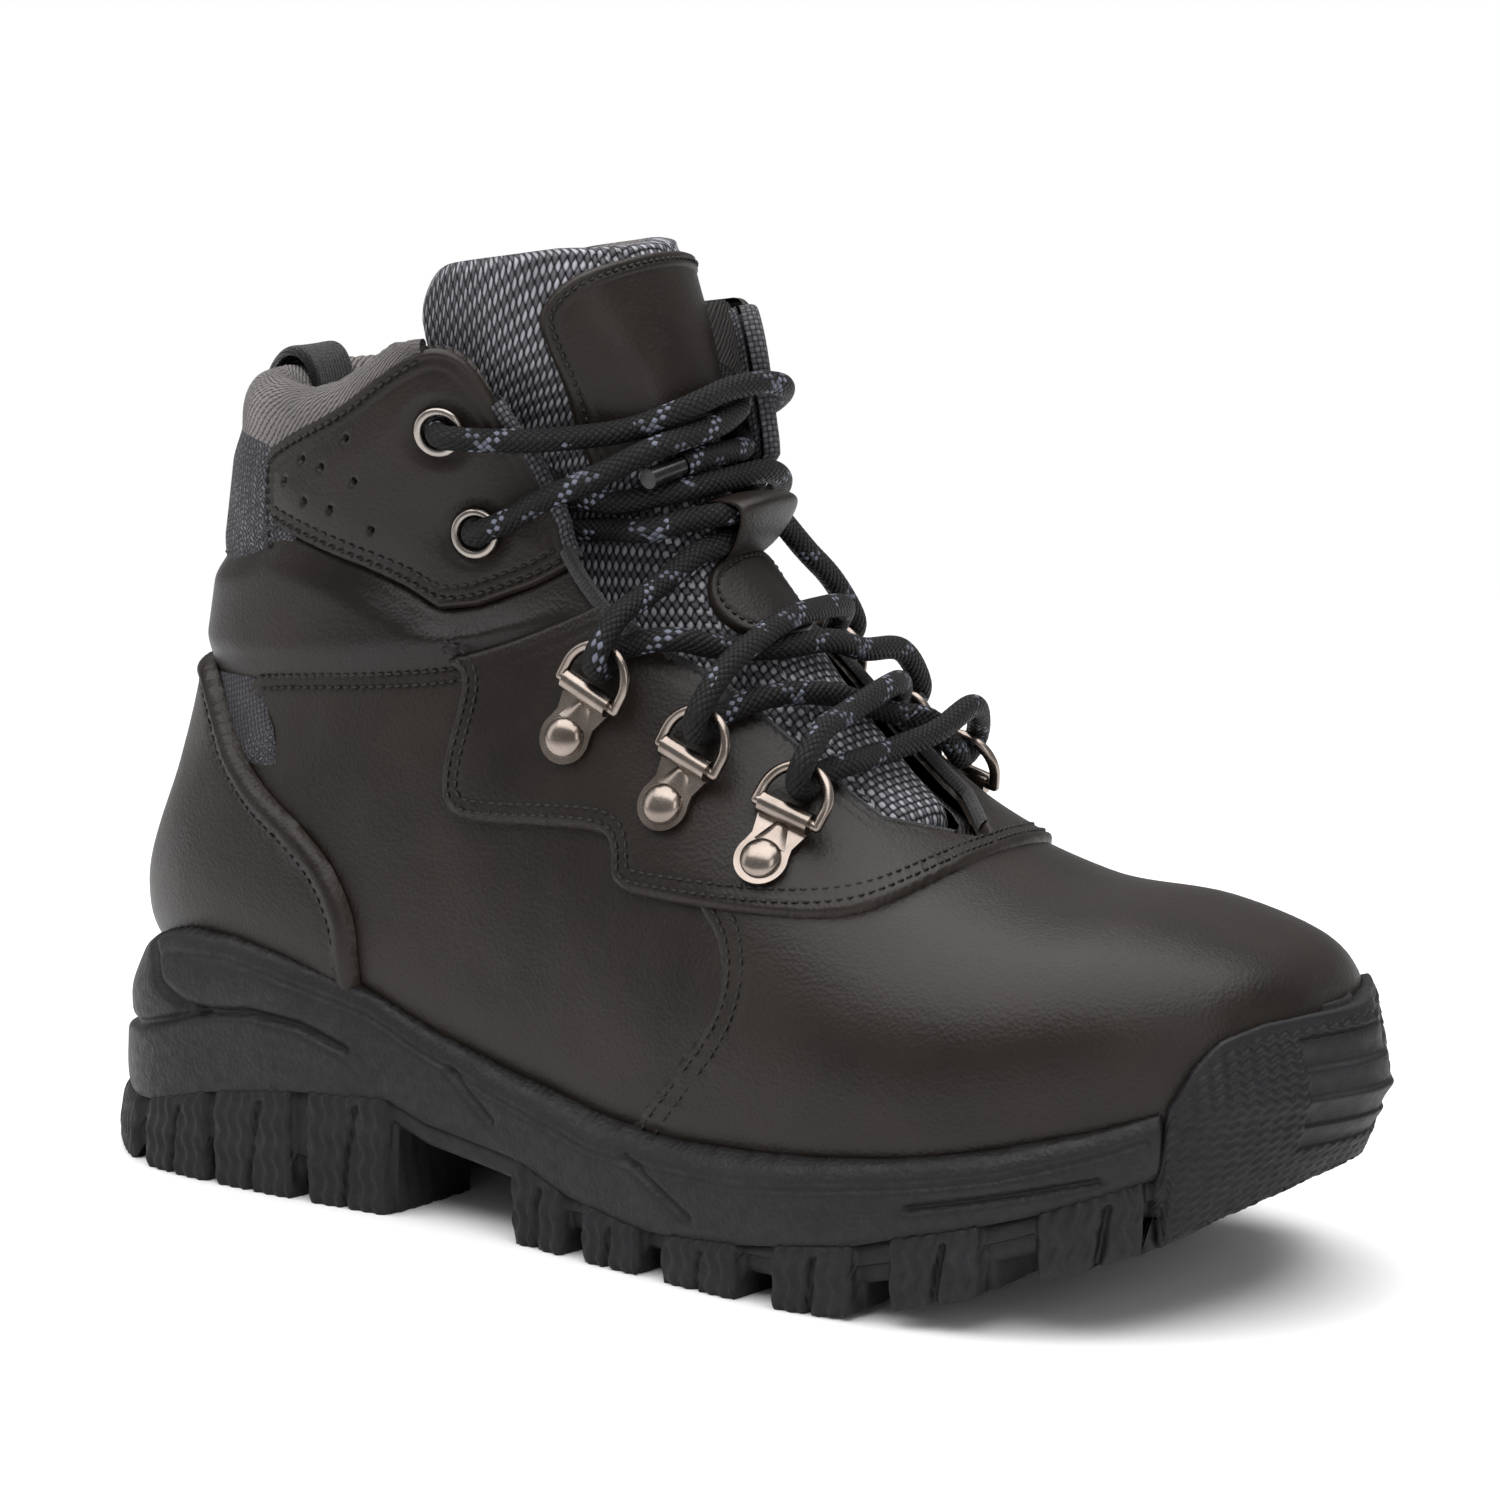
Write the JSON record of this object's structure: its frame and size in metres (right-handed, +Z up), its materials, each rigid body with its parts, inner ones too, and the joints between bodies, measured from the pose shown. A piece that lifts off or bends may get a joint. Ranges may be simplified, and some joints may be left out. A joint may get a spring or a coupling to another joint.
{
  "type": "hiking boot",
  "caption": "Ankle-high lace-up hiking boot for the right foot with a lugged sole, rubber toe bumper, padded collar, padded tongue and swinging metal lace rings.",
  "frame": {"origin": "on the ground under the middle of the boot", "axes": "+X to the toe, +Y to the inner (medial) side, +Z up"},
  "size_m": [0.2363, 0.0946, 0.1628],
  "materials": {
    "upper_leather": "smooth, semi-matte, fine grain",
    "upper_mesh": "woven mesh",
    "lining_knit": "ribbed knit",
    "tongue_weave": "coarse basket weave",
    "gusset_cloth": "plain cloth",
    "outsole_rubber": "matte, stippled",
    "midsole_foam": "matte, stippled",
    "shank_steel": "brushed",
    "board": "fibre board",
    "footbed_foam": "cloth over foam",
    "stiffener": "matte",
    "collar_foam": "foam",
    "webbing": "woven tape",
    "lace_braid": "round braid with grey flecks",
    "aglet_plastic": "glossy",
    "hardware_metal": "dark brushed nickel"
  },
  "bodies": {
    "boot": {"outsole": "outsole_rubber", "midsole": "midsole_foam", "shank": "shank_steel", "insole_board": "board", "footbed": "footbed_foam", "vamp": "upper_leather", "quarter_lateral": "upper_leather", "quarter_medial": "upper_leather", "heel_mesh": "upper_mesh", "heel_counter": "upper_leather", "heel_stiffener": "stiffener", "toe_puff": "stiffener", "facing": "upper_leather", "ankle_band": "upper_leather", "cuff_lateral": "upper_leather", "cuff_medial": "upper_leather", "back_panel": "upper_mesh", "pull_tab": "webbing", "lining": "lining_knit", "collar_foam": "collar_foam", "collar_trim": "lining_knit", "binding_lateral": "lining_knit", "binding_medial": "lining_knit", "tongue": "tongue_weave", "tongue_padding": "gusset_cloth", "tongue_patch": "upper_leather", "gusset_lateral": "gusset_cloth", "gusset_medial": "gusset_cloth", "keeper_loop": "upper_leather", "keeper_tab": "upper_leather", "plate_lateral_1": "hardware_metal", "plate_lateral_2": "hardware_metal", "plate_lateral_3": "hardware_metal", "plate_medial_1": "hardware_metal", "plate_medial_2": "hardware_metal", "plate_medial_3": "hardware_metal", "plate_rivets": "hardware_metal", "rivet_washers": "hardware_metal", "eyelets": "hardware_metal", "eyelet_washers": "hardware_metal", "lace": "lace_braid", "aglets": "aglet_plastic"},
    "ring_lateral_1_body": {"ring_lateral_1": "hardware_metal"},
    "ring_lateral_2_body": {"ring_lateral_2": "hardware_metal"},
    "ring_lateral_3_body": {"ring_lateral_3": "hardware_metal"},
    "ring_medial_1_body": {"ring_medial_1": "hardware_metal"},
    "ring_medial_2_body": {"ring_medial_2": "hardware_metal"},
    "ring_medial_3_body": {"ring_medial_3": "hardware_metal"}
  },
  "joints": [
    {"name": "swing_lateral_1", "type": "hinge", "parent": "boot", "child": "ring_lateral_1_body", "pos_m": [-0.00291, -0.03068, 0.0913], "axis": [-0.8973, 0.0005, 0.4415], "range_deg": [-4, 4]},
    {"name": "swing_lateral_2", "type": "hinge", "parent": "boot", "child": "ring_lateral_2_body", "pos_m": [0.01559, -0.03021, 0.08237], "axis": [-0.9244, 0.0484, 0.3783], "range_deg": [-4, 4]},
    {"name": "swing_lateral_3", "type": "hinge", "parent": "boot", "child": "ring_lateral_3_body", "pos_m": [0.0328, -0.02819, 0.07494], "axis": [-0.9484, -0.0424, 0.3141], "range_deg": [-4, 4]},
    {"name": "swing_medial_1", "type": "hinge", "parent": "boot", "child": "ring_medial_1_body", "pos_m": [0.00637, 0.02987, 0.08787], "axis": [0.9031, 0.0153, -0.4292], "range_deg": [-4, 4]},
    {"name": "swing_medial_2", "type": "hinge", "parent": "boot", "child": "ring_medial_2_body", "pos_m": [0.01931, 0.03128, 0.0778], "axis": [0.9278, 0.0567, -0.3687], "range_deg": [-4, 4]},
    {"name": "swing_medial_3", "type": "hinge", "parent": "boot", "child": "ring_medial_3_body", "pos_m": [0.03178, 0.0316, 0.07167], "axis": [0.958, 0.0234, -0.2857], "range_deg": [-4, 4]}
  ]
}
